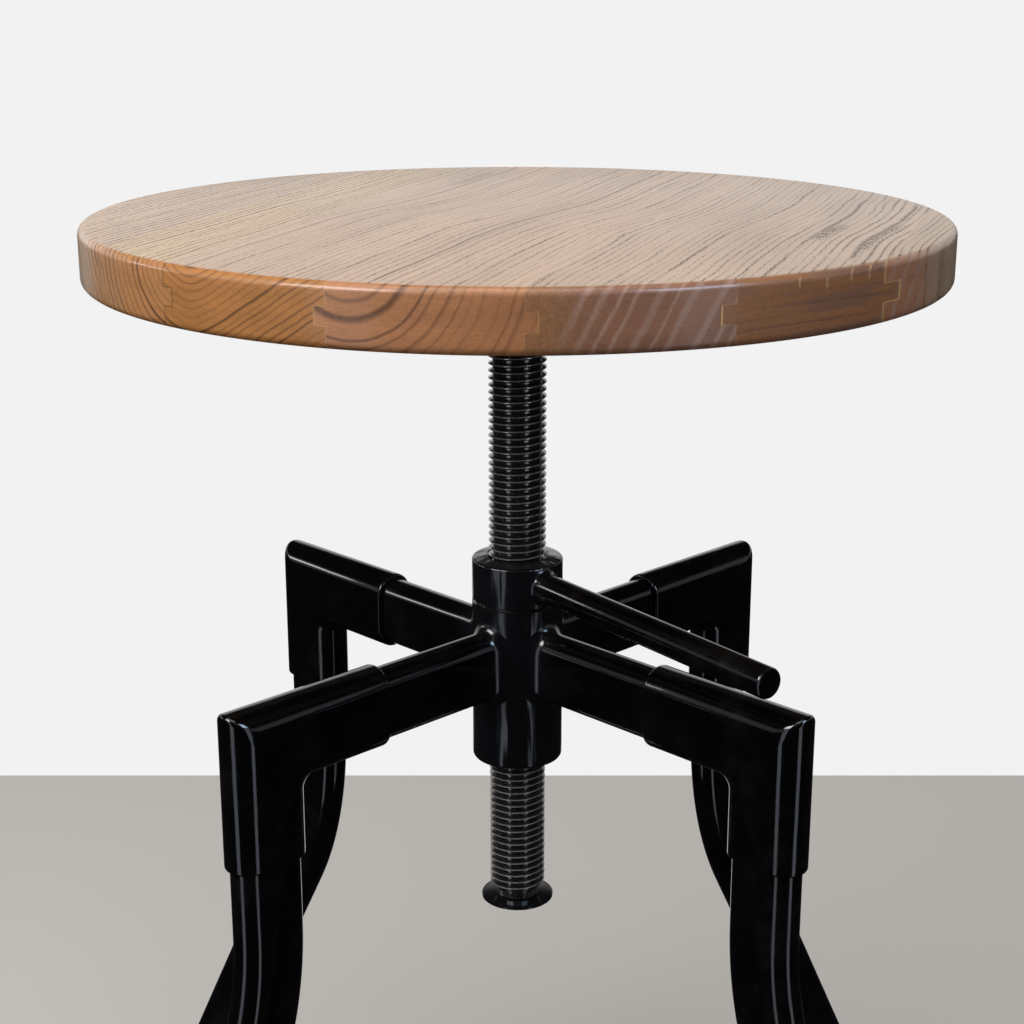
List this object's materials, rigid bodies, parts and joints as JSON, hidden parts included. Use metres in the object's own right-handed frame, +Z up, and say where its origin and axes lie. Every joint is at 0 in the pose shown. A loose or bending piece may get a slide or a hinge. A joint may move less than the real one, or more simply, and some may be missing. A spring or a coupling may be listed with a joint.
{
  "type": "machinist stool",
  "caption": "Machinist stool: round wooden seat on a threaded post that screws up and down in a four-legged black steel frame, with a locking collar and handle.",
  "frame": {"origin": "on the floor, under the middle of the stool", "axes": "+Z up along the post; the legs stand 45 degrees from X and Y; the picture looks along +Y"},
  "size_m": [0.4436, 0.4436, 0.57],
  "materials": {
    "seat_wood": "lacquered, satin",
    "black_coat": "gloss black coat",
    "thread_steel": "blackened steel, oiled",
    "fastener_steel": "zinc plated",
    "foot_rubber": "matt"
  },
  "bodies": {
    "frame": {"hub": "black_coat", "arm_1": "black_coat", "arm_2": "black_coat", "arm_3": "black_coat", "arm_4": "black_coat", "elbow_1": "black_coat", "elbow_2": "black_coat", "elbow_3": "black_coat", "elbow_4": "black_coat", "leg_1": "black_coat", "leg_2": "black_coat", "leg_3": "black_coat", "leg_4": "black_coat", "foot_1": "foot_rubber", "foot_2": "foot_rubber", "foot_3": "foot_rubber", "foot_4": "foot_rubber"},
    "stop": {"stop_washer": "thread_steel"},
    "seat": {"post_socket": "black_coat", "threaded_post": "thread_steel", "stop_bolt": "thread_steel", "seat_plate": "black_coat", "seat_plate_screws": "fastener_steel", "seat_stave_1": "seat_wood", "seat_stave_2": "seat_wood", "seat_stave_3": "seat_wood", "seat_stave_4": "seat_wood", "seat_stave_5": "seat_wood", "seat_stave_6": "seat_wood", "seat_stave_7": "seat_wood"},
    "lock": {"lock_collar": "black_coat", "lock_handle": "black_coat"}
  },
  "joints": [
    {"name": "seat_height", "type": "slide", "parent": "frame", "child": "stop", "axis": [0, 0, 1], "range_m": [-0.1025, 0.0643]},
    {"name": "seat_turn", "type": "hinge", "parent": "stop", "child": "seat", "pos_m": [0, 0, 0.4], "axis": [0, 0, 1], "range_deg": [-12240, 7680]},
    {"name": "lock_turn", "type": "hinge", "parent": "frame", "child": "lock", "pos_m": [0, 0, 0.4193], "axis": [0, 0, 1], "range_deg": [0, 120]}
  ],
  "couplings": [
    {"joint": "seat_height", "follows": "seat_turn", "m_per_rad": 0.00047746}
  ]
}
